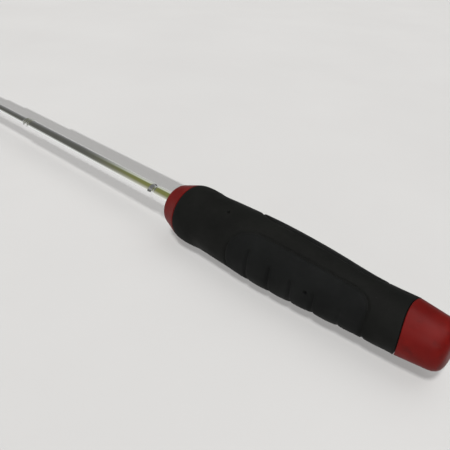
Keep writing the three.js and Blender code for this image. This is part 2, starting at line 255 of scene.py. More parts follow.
def softened(outline, steps=5):
    """Outline points, with a fillet at each corner that gives its size as a third number."""
    points = []
    for i, (station, radius, *size) in enumerate(outline):
        corner = Vector((station, radius))
        if not size:
            points.append(corner)
            continue
        back = Vector(outline[i - 1][:2]) - corner
        ahead = Vector(outline[(i + 1) % len(outline)][:2]) - corner
        reach = min(size[0], 0.45 * back.length, 0.45 * ahead.length)
        start = corner + back.normalized() * reach
        end = corner + ahead.normalized() * reach
        for step in range(steps + 1):
            t = step / steps
            points.append((1 - t) ** 2 * start + 2 * t * (1 - t) * corner + t**2 * end)
    return points


def braced(points, hollow, gap=0.35):
    """Adds a ring near each end of every long run, which keeps its shading flat."""
    made = []
    last = len(points) if hollow else len(points) - 1
    for i, point in enumerate(points):
        made.append(point)
        if i >= last:
            continue
        run = points[(i + 1) % len(points)] - point
        if run.length > 6 * gap:
            step = run.normalized() * gap
            made.extend([point + step, point + run - step])
    return made


def lofted(rings, hollow):
    """A shape through rings of points. A hollow one joins its last ring to its first."""
    count, sides, _ = rings.shape
    faces = []
    for i in range(count if hollow else count - 1):
        here = i * sides
        there = (i + 1) % count * sides
        for j in range(sides):
            k = (j + 1) % sides
            faces.append((here + j, here + k, there + k, there + j))
    mesh = bpy.data.meshes.new("loft")
    mesh.from_pydata(rings.reshape(-1, 3).tolist(), [], faces)
    shape = bmesh.new()
    shape.from_mesh(mesh)
    bpy.data.meshes.remove(mesh)
    bmesh.ops.remove_doubles(shape, verts=shape.verts, dist=1e-5)
    bmesh.ops.recalc_face_normals(shape, faces=shape.faces)
    return shape


def turned(outline, sides=SIDES):
    """A solid turned about its first axis from (station, radius) or (station, radius, fillet)."""
    hollow = all(corner[1] > 0 for corner in outline)
    points = braced(softened(outline), hollow)
    angles = np.linspace(0, 2 * math.pi, sides, endpoint=False)
    station = np.array([[p.x] for p in points]) + 0 * angles
    radius = np.array([[max(p.y, 0)] for p in points])
    rings = np.stack([station, radius * np.cos(angles), radius * np.sin(angles)], axis=2)
    return lofted(rings, hollow)


def as_object(shape, name):
    """A new object in the scene, holding the shape."""
    mesh = bpy.data.meshes.new(name)
    shape.to_mesh(mesh)
    shape.free()
    made = bpy.data.objects.new(name, mesh)
    bpy.context.scene.collection.objects.link(made)
    return made


def carved(shape, *steps):
    """The shape after each step, which is ("DIFFERENCE" or "UNION", another shape)."""
    body = as_object(shape, "carving")
    tools = []
    for kind, tool in steps:
        cutter = as_object(tool, "cutter")
        boolean = body.modifiers.new("boolean", "BOOLEAN")
        boolean.operation = kind
        boolean.solver = "EXACT"
        boolean.object = cutter
        tools.append(cutter)
    bpy.context.view_layer.update()
    result = body.evaluated_get(bpy.context.evaluated_depsgraph_get())
    made = bmesh.new()
    made.from_mesh(result.to_mesh())
    for used in (body, *tools):
        bpy.data.objects.remove(used)
    return made


def block(low, high):
    """A plain block between two corners, for cutting."""
    shape = bmesh.new()
    bmesh.ops.create_cube(shape, size=1)
    size = Vector(high) - Vector(low)
    middle = (Vector(high) + Vector(low)) / 2
    shape.transform(Matrix.Translation(middle) @ Matrix.Diagonal((*size, 1)))
    return shape


def bar(half, radius):
    """A plain round bar, centred on its own middle."""
    return turned([(-half, 0), (-half, radius), (half, radius), (half, 0)])


def across(shape, station):
    """Turns a shape's axis across the mast and sets it at a station."""
    shape.transform(Matrix.Translation((station, 0, 0)) @ Matrix.Rotation(math.pi / 2, 4, "Z"))
    return shape


def anchor_hole(reach):
    """A drill that clears the anchor pin, across the mast."""
    pin = centre_of("tube_anchor_pin")
    radius = (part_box("tube_anchor_pin")[1].z - pin.z) / MM + FIT_GAP
    return across(bar(reach, radius), (NOSE_X - pin.x) / MM)


def bevelled(shape, size):
    """Rounds the sharp edges a little."""
    sharp = [e for e in shape.edges if e.is_manifold and e.calc_face_angle() > math.radians(32)]
    bmesh.ops.bevel(
        shape, geom=sharp, offset=size, segments=2, profile=0.5, affect="EDGES", clamp_overlap=True
    )
    return shape


def dress(node, shape, slot, place=TO_MAST, smooth_below=38):
    """Shows the shape instead of a CAD node, on that node's body, in a slot's finish."""
    shape.transform(place)
    look = as_object(shape, node + "_look")
    look.data.polygons.foreach_set("use_smooth", [True] * len(look.data.polygons))
    look.data.set_sharp_from_angle(angle=math.radians(smooth_below))
    look.data.materials.append(FINISHES[slot])
    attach(look, frame["nodes"][node]["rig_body"])
    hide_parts(node)
    return look


# ---------------------------------------------------------------- materials


class Nodes:
    """Makes and joins nodes in one node tree."""

    def __init__(self, tree):
        self.tree = tree

    def link(self, source, node, socket):
        """Joins an output to one of a node's inputs."""
        self.tree.links.new(source, node.inputs[socket])

    def levels(self, source, *stops):
        """A colour ramp through (position, grey or colour) stops."""
        node = self.tree.nodes.new("ShaderNodeValToRGB")
        ramp = node.color_ramp
        while len(ramp.elements) < len(stops):
            ramp.elements.new(0.5)
        for element, (position, value) in zip(ramp.elements, stops):
            color = value if isinstance(value, tuple) else (value,) * 3
            element.position = position
            element.color = (*color, 1)
        self.link(source, node, "Fac")
        return node.outputs["Color"]

    def rising(self, source, start, end):
        """Goes smoothly from 0 to 1 as the source goes from start to end."""
        node = self.tree.nodes.new("ShaderNodeMapRange")
        node.interpolation_type = "SMOOTHSTEP"
        node.inputs["From Min"].default_value = start
        node.inputs["From Max"].default_value = end
        self.link(source, node, "Value")
        return node.outputs["Result"]

    def mix(self, factor, first, second):
        """Between two colours or two outputs."""
        node = self.tree.nodes.new("ShaderNodeMix")
        node.data_type = "RGBA"
        self.link(factor, node, "Factor")
        for socket, value in (("A", first), ("B", second)):
            slot = next(s for s in node.inputs if s.name == socket and s.type == "RGBA")
            if isinstance(value, tuple):
                slot.default_value = (*value, 1)
            else:
                self.tree.links.new(value, slot)
        return next(s for s in node.outputs if s.type == "RGBA")


class Finish(Nodes):
    """One procedural material: a Principled shader, and the nodes that vary it."""

    def __init__(self, name, **sockets):
        self.material = bpy.data.materials.new(name)
        self.material.use_nodes = True
        super().__init__(self.material.node_tree)
        self.shader = self.tree.nodes["Principled BSDF"]
        for socket, value in sockets.items():
            self.shader.inputs[socket.replace("_", " ")].default_value = value
        self.place = self.tree.nodes.new("ShaderNodeTexCoord").outputs["Object"]

    def stretched(self, along, round_it):
        """Object coordinates scaled along the mast and round it."""
        mapping = self.tree.nodes.new("ShaderNodeMapping")
        mapping.inputs["Scale"].default_value = (along, round_it, round_it)
        self.link(self.place, mapping, "Vector")
        return mapping.outputs["Vector"]

    def noise(self, scale, detail=4.0, roughness=0.55, place=None):
        """A noise output with that many cells to the metre."""
        node = self.tree.nodes.new("ShaderNodeTexNoise")
        node.inputs["Scale"].default_value = scale
        node.inputs["Detail"].default_value = detail
        node.inputs["Roughness"].default_value = roughness
        self.link(place or self.place, node, "Vector")
        return node.outputs["Fac"]

    def bump(self, height, strength, distance):
        """Adds a bump on top of those before it. Its distance is in metres."""
        node = self.tree.nodes.new("ShaderNodeBump")
        node.inputs["Strength"].default_value = strength
        node.inputs["Distance"].default_value = distance
        self.link(height, node, "Height")
        previous = self.shader.inputs["Normal"].links
        if previous:
            self.link(previous[0].from_socket, node, "Normal")
        self.link(node.outputs["Normal"], self.shader, "Normal")

    def color(self, source):
        """Joins an output to the base colour."""
        self.link(source, self.shader, "Base Color")

    def roughness(self, source, low, high):
        """Roughness from a noise output, between two values."""
        node = self.tree.nodes.new("ShaderNodeMapRange")
        node.inputs["From Min"].default_value = 0.3
        node.inputs["From Max"].default_value = 0.7
        node.inputs["To Min"].default_value = low
        node.inputs["To Max"].default_value = high
        self.link(source, node, "Value")
        self.link(node.outputs["Result"], self.shader, "Roughness")


def black_rubber():
    """Near-black moulded rubber: a fine spark-eroded grain, handled smooth in patches, with a
    painted bluish reflection on the side panels.
    """
    finish = Finish("black_rubber", IOR=1.5, Specular_IOR_Level=0.10)
    panel = finish.tree.nodes.new("ShaderNodeAttribute")
    panel.attribute_name = "panel"
    worn = finish.noise(55, detail=5)
    skin = finish.levels(worn, (0.35, (0.0052, 0.0055, 0.0050)), (0.68, (0.0084, 0.0087, 0.0079)))
    # Painted reflection: the side panels get a slightly bluer black, standing for the light they
    # reflect.
    panel_reflection_tint = finish.levels(worn, (0.35, (0.0051, 0.0056, 0.0055)), (0.68, (0.0081, 0.0088, 0.0086)))
    base = finish.mix(panel.outputs["Fac"], skin, panel_reflection_tint)
    dust = finish.levels(finish.noise(900, detail=6, roughness=0.7), (0.66, 0.0), (0.74, 1.0))
    finish.color(finish.mix(dust, base, (0.030, 0.030, 0.028)))
    finish.roughness(finish.noise(120, detail=4), 0.62, 0.80)
    finish.bump(finish.noise(2600, detail=2), 0.35, 0.00006)
    finish.bump(finish.noise(340, detail=3), 0.15, 0.00012)
    return finish.material


def red_plastic():
    """Moulded red plastic with a satin skin, darker smudges and fine rubbed marks."""
    finish = Finish("red_plastic", IOR=1.49, Specular_IOR_Level=0.10)
    cloudy = finish.noise(70, detail=5)
    base = finish.levels(cloudy, (0.32, (0.119, 0.0045, 0.0036)), (0.66, (0.161, 0.0068, 0.0052)))
    smudge = finish.levels(finish.noise(190, detail=6, roughness=0.65), (0.56, 0.0), (0.72, 0.7))
    smudged = finish.mix(smudge, base, (0.080, 0.0065, 0.0055))
    rubbed = finish.noise(260, detail=5, place=finish.stretched(0.4, 2.5))
    marks = finish.levels(rubbed, (0.66, 0.0), (0.76, 0.45))
    finish.color(finish.mix(marks, smudged, (0.22, 0.030, 0.024)))
    finish.roughness(finish.noise(150, detail=5), 0.40, 0.58)
    finish.bump(finish.noise(1500, detail=3), 0.22, 0.00005)
    finish.bump(finish.noise(95, detail=3), 0.12, 0.0003)
    return finish.material


def bright_metal(name, low_color, high_color, low, high, grain, strength):
    """Bright metal with cloudy polish and fine scratches drawn along the mast."""
    finish = Finish(name, Metallic=1.0)
    polish = finish.noise(140, detail=6, roughness=0.6)
    finish.color(finish.levels(polish, (0.3, low_color), (0.7, high_color)))
    scratches = finish.noise(grain, detail=3, roughness=0.6, place=finish.stretched(0.05, 1.0))
    finish.roughness(polish, low, high)
    finish.bump(scratches, strength, 0.00002)
    return finish.material


def black_plastic():
    """Plain black moulded plastic with a fine grain."""
    finish = Finish("black_plastic", IOR=1.48)
    finish.color(finish.levels(finish.noise(160), (0.3, 0.014), (0.7, 0.024)))
    finish.roughness(finish.noise(260), 0.38, 0.56)
    finish.bump(finish.noise(2400, detail=2), 0.25, 0.00005)
    return finish.material


FINISHES = {
    "black_rubber": black_rubber(),
    "red_plastic": red_plastic(),
    "chrome": bright_metal(
        "chrome", (0.95, 0.955, 0.96), (0.99, 0.995, 1.0), 0.012, 0.035, 1800, 0.05
    ),
    "steel": bright_metal(
        "steel", (0.38, 0.38, 0.37), (0.52, 0.52, 0.51), 0.26, 0.42, 2600, 0.35
    ),
    "brass": bright_metal(
        "brass", (0.50, 0.34, 0.13), (0.66, 0.48, 0.21), 0.24, 0.40, 2400, 0.30
    ),
    "magnet_nickel": bright_metal(
        "magnet_nickel", (0.44, 0.43, 0.40), (0.60, 0.59, 0.55), 0.22, 0.40, 2000, 0.30
    ),
    "black_plastic": black_plastic(),
}


# ---------------------------------------------------------------- handle


def seam_wave(angles):
    """How far the rear seam swings forward, round the handle."""
    return SEAM_WAVE * np.cos(2 * (angles - math.pi / 2))


def grip_outline(stations):
    """Radius of the plain grip, as a smooth curve through the CAD node's own rings."""
    co = np.array([v.co for v in frame["nodes"]["grip_overmould"].data.vertices])
    u = np.round((NOSE_X - co[:, 0]) / MM, 3)
    r = np.hypot(co[:, 1], co[:, 2] - AXIS_Z) / MM
    known = np.unique(u)
    radius = np.array([r[u == station].max() for station in known])
    slope = np.gradient(radius, known)
    i = np.clip(np.searchsorted(known, stations) - 1, 0, len(known) - 2)
    width = known[i + 1] - known[i]
    t = np.clip((stations - known[i]) / width, 0, 1)
    start = radius[i] * (1 + 2 * t) * (1 - t) ** 2 + slope[i] * width * t * (1 - t) ** 2
    end = radius[i + 1] * t**2 * (3 - 2 * t) - slope[i + 1] * width * t**2 * (1 - t)
    return start + end


def smooth_step(x):
    """Goes smoothly from 0 to 1 as x does."""
    x = np.clip(x, 0, 1)
    return x * x * (3 - 2 * x)


def from_top(angles):
    """The angle away from the grip's top, the same on both sides."""
    turn = angles - GRIP_TOP
    return np.abs((turn + math.pi) % (2 * math.pi) - math.pi)


def panel_distance(stations, angles):
    """How far outside the side panel's rounded outline each point lies."""
    along = stations - (PANEL_FRONT + PANEL_REAR) / 2
    height = (from_top(angles) - math.pi / 2) * GRIP_MEAN_RADIUS
    corner = np.where(along > 0, PANEL_FRONT_CORNER, PANEL_REAR_CORNER)
    x = np.abs(along) - (PANEL_FRONT - PANEL_REAR) / 2 + corner
    y = np.abs(height) - PANEL_HALF_HEIGHT + corner
    return np.hypot(np.maximum(x, 0), np.maximum(y, 0)) + np.minimum(np.maximum(x, y), 0) - corner


def panel_relief(stations, angles):
    """The side panels, a little proud, each inside its groove."""
    distance = panel_distance(stations, angles)
    rise = PANEL_RISE * smooth_step(-distance / PANEL_RISE_WIDTH)
    return rise - PANEL_GROOVE_DEPTH * np.exp(-((distance / PANEL_GROOVE_WIDTH) ** 2))


def belly_relief(stations, side):
    """The swelling of the underside, fullest at the rear."""
    under = smooth_step((side - BELLY_SIDES[0]) / BELLY_SIDE_FADE)
    under = under * smooth_step((BELLY_SIDES[1] - side) / BELLY_SIDE_FADE)
    from_rear = smooth_step((stations - BELLY_ENDS[0]) / BELLY_END_FADES[0])
    whole = from_rear * smooth_step((BELLY_ENDS[1] - stations) / BELLY_END_FADES[1])
    rear = from_rear * smooth_step((REAR_BELLY_FRONT - stations) / REAR_BELLY_FADE)
    return under * (BELLY_HEIGHT * whole + REAR_BELLY_HEIGHT * rear)


def finger_relief(stations, side):
    """The finger notches, which lean as they go down, and the low lobes between them."""
    lean = NOTCH_LEAN * smooth_step((side - NOTCH_LEAN_START) / NOTCH_LEAN_FADE)
    dent = np.zeros_like(stations + side)
    valley = np.zeros_like(dent)
    for station, top, weight in NOTCHES:
        away = stations - station - lean
        start = smooth_step((side - math.radians(top)) / NOTCH_FADE)
        dent = np.maximum(dent, weight * start * np.exp(-((away / NOTCH_WIDTH) ** 2)))
        valley = np.maximum(valley, np.exp(-((away / LOBE_VALLEY_WIDTH) ** 2)))
    first, last = NOTCHES[0][0] + LOBES_REACH, NOTCHES[-1][0] - LOBES_REACH
    lobes = smooth_step((side - LOBE_START) / LOBE_FADE)
    lobes = lobes * smooth_step((stations - last) / LOBES_END_FADE)
    lobes = lobes * smooth_step((first - stations) / LOBES_END_FADE)
    return lobes * LOBE_HEIGHT * (1 - valley) - NOTCH_DEPTH * dent


def vent_relief(stations, angles):
    """The two small holes on the -Y side."""
    relief = np.zeros_like(stations + angles)
    for station, angle in VENT_HOLES:
        away = (angles - math.radians(angle)) * GRIP_MEAN_RADIUS
        share = np.hypot(stations - station, away) / VENT_RADIUS
        relief -= VENT_DEPTH * smooth_step(VENT_MOUTH - VENT_WALL * share)
    return relief


def grip_relief(stations, angles):
    """Height of all the moulded detail."""
    side = from_top(angles)
    shape = panel_relief(stations, angles) + belly_relief(stations, side)
    return shape + finger_relief(stations, side) + vent_relief(stations, angles)


def grip():
    """The overmoulded sleeve, with its edges rounded where they meet the red ends."""
    rear, front, _ = stations_of("grip_overmould")
    angles = np.linspace(0, 2 * math.pi, GRIP_SIDES, endpoint=False)[None, :]
    share = np.linspace(0, 1, GRIP_STATIONS)
    length = front - rear
    edge_rings = np.array(GRIP_EDGE_RINGS) / length
    share = np.unique(np.concatenate([edge_rings, share[2:-2], 1 - edge_rings]))[:, None]
    plain = rear + share * length
    stations = plain + seam_wave(angles) * smooth_step(1 - 6 * share)
    inset = np.minimum(plain - rear, front - plain)
    missing = np.clip(GRIP_EDGE - inset, 0, GRIP_EDGE)
    edge = GRIP_EDGE - np.sqrt(GRIP_EDGE**2 - missing**2)
    radius = grip_outline(plain) + grip_relief(stations, angles) - edge
    bore = np.full_like(angles, SPINE_RADIUS + SPINE_GAP)
    stations = np.concatenate([stations[:1], stations, stations[-1:]])
    radius = np.concatenate([bore, radius, bore])
    rings = np.stack([stations, radius * np.cos(angles), radius * np.sin(angles)], axis=2)
    look = dress("grip_overmould", lofted(rings, True), "black_rubber")
    mark_panel(look)


def mark_panel(look):
    """Marks the side panels, where the rubber gets a slightly bluer black: a painted reflection of
    the light on them.
    """
    co = np.empty(len(look.data.vertices) * 3)
    look.data.vertices.foreach_get("co", co)
    x, y, z = co.reshape(-1, 3).T
    inside = -panel_distance((NOSE_X - x) / MM, np.arctan2(z - AXIS_Z, -y))
    mark = look.data.attributes.new("panel", "FLOAT", "POINT")
    mark.data.foreach_set("value", smooth_step(inside / PANEL_MARK_WIDTH))


def handle_core():
    """The red nose, and the spine inside the grip, bored for the tube and the anchor pin."""
    seam = round(stations_of("grip_overmould")[1], 1) + FIT_GAP
    seam_radius = grip_outline(np.array([seam - 0.2]))[0]
    corner = (NOSE_FACE_U - NOSE_CORNER, NOSE_FACE_RADIUS)
    bore = stations_of("outer_tube")[2] - BEAD_HEIGHT + FIT_GAP
    core = turned(
        [
            (NOSE_FACE_U, bore, 0.35),
            *arc(corner, NOSE_CORNER, 0, NOSE_CORNER_TURN, 12),
            (seam, seam_radius, 0.35),
            (seam, SPINE_RADIUS, 0.3),
            (SPINE_REAR, SPINE_RADIUS, 0.3),
            (SPINE_REAR, CAP_SOCKET_RADIUS, 0.3),
            (CAP_SOCKET_FLOOR, CAP_SOCKET_RADIUS),
            (CAP_SOCKET_FLOOR, bore),
        ],
        FINE_SIDES,
    )
    dress("handle_core", carved(core, ("DIFFERENCE", anchor_hole(20))), "red_plastic")


def end_cap():
    """The red rear end: a blunt taper, its front edge following the wavy seam."""
    rear, front, radius = stations_of("end_cap")
    seam = round(stations_of("grip_overmould")[0], 1) - 3 * FIT_GAP
    cap = turned(
        [
            (rear, 0),
            (rear, CAP_END_RADIUS, CAP_CORNER),
            (seam, radius, 0.35),
            (seam, CAP_SOCKET_RADIUS - FIT_GAP, 0.3),
            (front, CAP_SOCKET_RADIUS - FIT_GAP, 0.5),
            (front, 0),
        ],
        FINE_SIDES,
    )
    for vert in cap.verts:
        along = 1 - abs(vert.co.x - seam) / SEAM_WAVE_REACH
        if along > 0 and vert.co.x <= seam + 0.01:
            vert.co.x += seam_wave(math.atan2(vert.co.z, vert.co.y)) * smooth_step(along)
    dress("end_cap", cap, "red_plastic")


def anchor_pin():
    """The cross pin that holds the tube in the spine."""
    pin = centre_of("tube_anchor_pin")
    low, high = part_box("tube_anchor_pin")
    half = (high.y - low.y) / 2 / MM
    radius = (high.z - low.z) / 2 / MM
    shape = turned([(-half, 0), (-half, radius, 0.3), (half, radius, 0.3), (half, 0)])
    dress("tube_anchor_pin", across(shape, (NOSE_X - pin.x) / MM), "steel")


# ---------------------------------------------------------------- mast


def groove_side(radius, half_width=GROOVE_HALF_WIDTH, steps=16):
    """The dip that the rolled groove makes in a surface of that radius."""
    places = [2 * i / steps - 1 for i in range(steps + 1)]
    return [
        (
            GROOVE_U + place * half_width,
            radius - GROOVE_DEPTH * (0.5 + 0.5 * math.cos(math.pi * place)) ** 2,
        )
        for place in places
    ]


def mouth_side(end, radius, length):
    """The outer side of a rolled mouth: two soft beads with a valley between them."""
    start = end - length
    crest = radius + BEAD_HEIGHT
    valley = radius - VALLEY_DEPTH
    return [
        (start, radius, 0.3),
        (start + 0.09 * length, crest, 0.3),
        (start + 0.27 * length, crest, 0.4),
        (start + 0.38 * length, valley, 0.4),
        (start + 0.58 * length, valley, 0.4),
        (start + 0.69 * length, crest, 0.4),
        (start + 0.87 * length, crest, 0.4),
        (end, valley, 0.2),
    ]


def outer_tube():
    """The fixed tube of the mast, with its rolled groove and its beaded mouth."""
    rear, front, crest = stations_of("outer_tube")
    radius = crest - BEAD_HEIGHT
    bore = radius - TUBE_WALL
    mouth_bore = bore - MOUTH_STEP
    mouth = front - MOUTH_SHARE * MOUTH_LENGTH
    tube = turned(
        [
            (rear, radius, 0.1),
            *groove_side(radius),
            *mouth_side(front, radius, MOUTH_LENGTH),
            (front, mouth_bore, 0.15),
            (mouth, mouth_bore, 0.3),
            (mouth - MOUTH_TAPER, bore, 0.3),
            *reversed(groove_side(bore)),
            (rear, bore, 0.1),
        ],
        FINE_SIDES,
    )
    dress("outer_tube", carved(tube, ("DIFFERENCE", anchor_hole(9))), "chrome")


def stop_plug():
    """The plug that the rolled groove locks inside the outer tube."""
    rear, front, radius = stations_of("tube_stop_plug")
    outline = [
        (rear, 0),
        (rear, radius, 0.4),
        *groove_side(radius, GROOVE_HALF_WIDTH + FIT_GAP),
        (front, radius, 0.4),
        (front, 0),
    ]
    dress("tube_stop_plug", turned(outline), "brass")


def stage_tube(number):
    """One sliding section, with a rolled mouth like the outer tube's."""
    node = f"stage_{number}_tube"
    rear, front, crest = stations_of(node)
    radius = crest - BEAD_HEIGHT
    bore = radius - STAGE_WALL
    mouth = front - STAGE_MOUTH_SHARE * STAGE_MOUTH_LENGTH
    outline = [
        (rear, radius, 0.1),
        *mouth_side(front, radius, STAGE_MOUTH_LENGTH),
        (front, bore - STAGE_MOUTH_STEP, 0.12),
        (mouth, bore - STAGE_MOUTH_STEP, 0.3),
        (mouth - MOUTH_TAPER, bore, 0.3),
        (rear, bore, 0.1),
    ]
    dress(node, turned(outline, FINE_SIDES), "chrome")


def stage_rod():
    """The last section: a solid rod with a riveted tenon at its rear."""
    rear, front, radius = stations_of("stage_5_rod")
    shoulder = stations_of("stage_5_stop_bush")[1] + FIT_GAP
    outline = [
        (rear, 0),
        (rear, TENON_POINT_SHARE * radius, 0.1),
        (rear + TENON_POINT, TENON_SHARE * radius, 0.1),
        (shoulder, TENON_SHARE * radius, 0.1),
        (shoulder, radius, 0.2),
        (front, radius, 0.2),
        (front, 0),
    ]
    dress("stage_5_rod", turned(outline), "chrome")


def stop_bush(number):
    """The bush behind a section, which stops it inside its parent."""
    node = f"stage_{number}_stop_bush"
    rear, front, flange = stations_of(node)
    if number == 5:
        outline = [
            (rear, ROD_BUSH_BORE, 0.15),
            (rear, flange, 0.3),
            (front, flange, 0.3),
            (front, ROD_BUSH_BORE, 0.15),
        ]
    else:
        step = rear + BUSH_FLANGE
        spigot = stations_of(f"stage_{number}_tube")[2] - BEAD_HEIGHT - STAGE_WALL - FIT_GAP
        outline = [
            (rear, BUSH_VENT_RADIUS, 0.2),
            (rear, flange, 0.3),
            (step, flange, 0.3),
            (step, spigot, 0.1),
            (front, spigot, 0.4),
            (front, BUSH_VENT_RADIUS, 0.2),
        ]
    dress(node, turned(outline), "brass")


def spring_sleeve(number):
    """A slit sleeve that springs against the parent's bore, crowned at its middle."""
    node = f"stage_{number}_spring_sleeve"
    rear, front, outer = stations_of(node)
    if number == 5:
        inner = stations_of("stage_5_rod")[2] + FIT_GAP
    else:
        inner = stations_of(f"stage_{number}_tube")[2] - BEAD_HEIGHT + FIT_GAP
    side = outer - SLEEVE_CROWN
    crown = SLEEVE_CUFF + SLEEVE_RISE
    sleeve = turned(
        [
            (rear, inner, 0.05),
            (rear, side, 0.1),
            (rear + SLEEVE_CUFF, side, 0.6),
            (rear + crown, outer, 0.6),
            (front - crown, outer, 0.6),
            (front - SLEEVE_CUFF, side, 0.6),
            (front, side, 0.1),
            (front, inner, 0.05),
        ]
    )
    half = outer * math.tan(SLEEVE_SLIT / 2)
    slit = block((rear - 1, -half, 0), (front + 1, half, outer + 1))
    dress(node, carved(sleeve, ("DIFFERENCE", slit)), "brass")


# ---------------------------------------------------------------- knuckle and head


def fork_flat(start, side, reach):
    """A cutter for the flat outside one ear, on side 1 or -1."""
    near, far = sorted((FORK_EAR_SIDE * side, reach * side))
    return block((start, near, -reach), (start + reach, far, reach))


def head_fork():
    """The fork: a socket for the rod behind, and two flat ears ahead."""
    rear, front, radius = stations_of("head_fork")
    rod_end = stations_of("stage_5_rod")[1]
    pivot_u = (NOSE_X - centre_of("pivot_pin").x) / MM
    slot = rod_end + FORK_WEB
    bore = stations_of("stage_5_rod")[2] + FORK_ROD_GAP
    body = turned(
        [
            (rear, 0),
            (rear, radius - 1, 0.3),
            (rear + 1, radius, 0.4),
            (rear + 2.2, radius, 0.15),
            (rear + 2.4, radius - 0.25, 0.1),
            (rear + 2.8, radius - 0.25, 0.1),
            (rear + 3.0, radius, 0.15),
            (front - 1.5, radius, 1.0),
            (front, radius - 1.5, 0.8),
            (front, 0),
        ]
    )
    reach = 20
    mouth = block((slot, -FORK_SLOT_HALF, -reach), (slot + reach, FORK_SLOT_HALF, reach))
    flats = [fork_flat(slot + FORK_FLAT_START, side, reach) for side in (1, -1)]
    bottom = rod_end + FIT_GAP
    socket = turned([(rear - 9, 0), (rear - 9, bore), (bottom, bore), (bottom, 0)])
    hole = across(bar(9, RIVET_BORE), pivot_u)
    cuts = [("DIFFERENCE", tool) for tool in (mouth, *flats, socket, hole)]
    dress("head_fork", bevelled(carved(body, *cuts), 0.15), "chrome", smooth_below=30)


def pivot_pin():
    """The rivet that the head turns on, with a domed button at each end."""
    low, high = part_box("pivot_pin")
    end = (high.y - low.y) / 2 / MM
    head = (high.z - low.z) / 2 / MM
    ear = end - RIVET_BUTTON
    button = [
        (ear, RIVET_RADIUS),
        (ear, head, 0.1),
        (end - 0.25, head, 0.25),
        (end, 0.9, 0.5),
        (end, 0),
    ]
    mirrored = [(-y, *rest) for y, *rest in reversed(button)]
    dress("pivot_pin", turned([*mirrored, *button]), "steel", TO_PIVOT)


def pivot_washer(name):
    """One spring washer between the tongue and an ear."""
    low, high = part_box(name)
    inner, outer = low.y / MM, high.y / MM
    radius = (high.z - low.z) / 2 / MM
    outline = [
        (inner, WASHER_BORE, 0.08),
        (inner, radius, 0.12),
        (outer, radius, 0.12),
        (outer, WASHER_BORE, 0.08),
    ]
    dress(name, turned(outline), "brass", TO_PIVOT)


def head_knuckle():
    """The tongue between the ears, with the collar and the rivet that hold the cup."""
    back = CUP_BACK - FIT_GAP
    end = CUP_BACK + CUP_FLOOR - FIT_GAP
    shank = block((0, -TONGUE_HALF, -TONGUE_RADIUS), (7, TONGUE_HALF, TONGUE_RADIUS))
    collar = turned(
        [
            (COLLAR_BACK, 0),
            (COLLAR_BACK, COLLAR_RADIUS - 0.6, 0.3),
            (COLLAR_BACK + 0.6, COLLAR_RADIUS, 0.3),
            (back, COLLAR_RADIUS, 0.2),
            (back, SPIGOT_RADIUS, 0.1),
            (end, SPIGOT_RADIUS, 0.3),
            (end, 0),
        ]
    )
    joined = carved(
        across(bar(TONGUE_HALF, TONGUE_RADIUS), 0),
        ("UNION", shank),
        ("UNION", collar),
        ("DIFFERENCE", across(bar(4, RIVET_BORE), 0)),
    )
    dress("head_knuckle", bevelled(joined, 0.12), "steel", TO_HEAD, smooth_below=30)


def magnet_cup():
    """The steel pot, with a turned line round it and a softened rim."""
    inside = CUP_RADIUS - CUP_WALL
    outline = [
        (CUP_BACK, CUP_BORE, 0.2),
        (CUP_BACK, CUP_RADIUS - 0.6, 0.3),
        (CUP_BACK + 0.6, CUP_RADIUS, 0.3),
        (CUP_BACK + 2.6, CUP_RADIUS, 0.1),
        (CUP_BACK + 2.8, CUP_RADIUS - 0.2, 0.1),
        (CUP_BACK + 3.2, CUP_RADIUS - 0.2, 0.1),
        (CUP_BACK + 3.4, CUP_RADIUS, 0.1),
        (CUP_FRONT - 0.6, CUP_RADIUS, 0.3),
        (CUP_FRONT, CUP_RADIUS - 0.6, 0.3),
        (CUP_FRONT, inside, 0.2),
        (CUP_BACK + CUP_FLOOR, inside, 0.2),
        (CUP_BACK + CUP_FLOOR, CUP_BORE, 0.1),
    ]
    dress("magnet_cup", turned(outline, FINE_SIDES), "chrome", TO_HEAD)


def magnet_spacer():
    """The plastic ring between the magnet and its pot."""
    back = CUP_BACK + CUP_FLOOR + FIT_GAP
    front = CUP_FRONT - SPACER_SETBACK
    inner = MAGNET_RADIUS + FIT_GAP
    outer = CUP_RADIUS - CUP_WALL - FIT_GAP
    outline = [(back, inner, 0.1), (back, outer, 0.1), (front, outer, 0.15), (front, inner, 0.15)]
    dress("magnet_spacer", turned(outline), "black_plastic", TO_HEAD)


def magnet():
    """The disc magnet, with a softened edge and a shallow dimple in its face."""
    back = CUP_BACK + CUP_FLOOR + FIT_GAP
    front = CUP_FRONT - MAGNET_SETBACK
    outline = [
        (back, 0),
        (back, MAGNET_RADIUS, 0.2),
        (front, MAGNET_RADIUS, 0.35),
        (front, DIMPLE_RADIUS, 0.1),
        (front - DIMPLE_DEPTH, 0.6 * DIMPLE_RADIUS, 0.1),
        (front - DIMPLE_DEPTH, 0),
    ]
    dress("magnet", turned(outline, FINE_SIDES), "magnet_nickel", TO_HEAD)


# ---------------------------------------------------------------- studio


def floor():
    """A plain pale table top with faint clouding."""
    shape = bmesh.new()
    bmesh.ops.create_grid(shape, x_segments=8, y_segments=8, size=TABLE_SIZE)
    table = as_object(shape, "table_top")
    finish = Finish("table_top", Specular_IOR_Level=0.0)
    clouds = finish.noise(6, detail=6)
    finish.color(finish.levels(clouds, (0.3, (0.166, 0.164, 0.161)), (0.7, (0.173, 0.171, 0.168))))
    finish.roughness(finish.noise(30), 0.5, 0.62)
    finish.bump(finish.noise(500), 0.05, 0.0002)
    table.data.materials.append(finish.material)


def group_of(name, members):
    """A collection outside the scene, for light linking."""
    group = bpy.data.collections.new(name)
    for member in members:
        group.objects.link(member)
    return group


